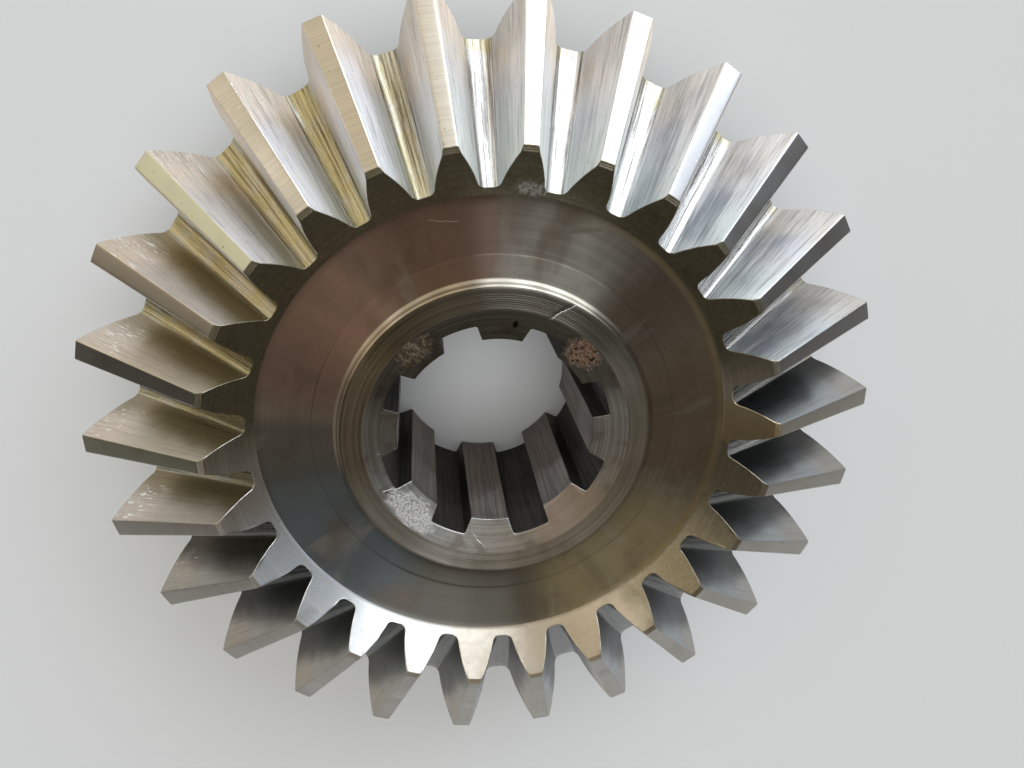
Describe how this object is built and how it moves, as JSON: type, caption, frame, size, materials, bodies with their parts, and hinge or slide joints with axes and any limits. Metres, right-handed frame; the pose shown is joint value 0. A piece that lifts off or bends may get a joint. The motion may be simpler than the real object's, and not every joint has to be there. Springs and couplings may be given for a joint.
{
  "type": "straight bevel gear",
  "caption": "Straight bevel gear with a short hub, a dished front and a straight-sided splined bore, to turn a drive through a right angle.",
  "frame": {"origin": "centre of the back hub face, on the gear's axis", "axes": "+Z along the gear's axis, from the back hub towards the small end of the teeth; +X through the middle of one tooth gap and one spline slot"},
  "size_m": [0.1484, 0.149, 0.041],
  "materials": {
    "steel": "machined steel with turning lines and a film of oil"
  },
  "bodies": {
    "root": {"bevel_gear": "steel"}
  },
  "joints": []
}
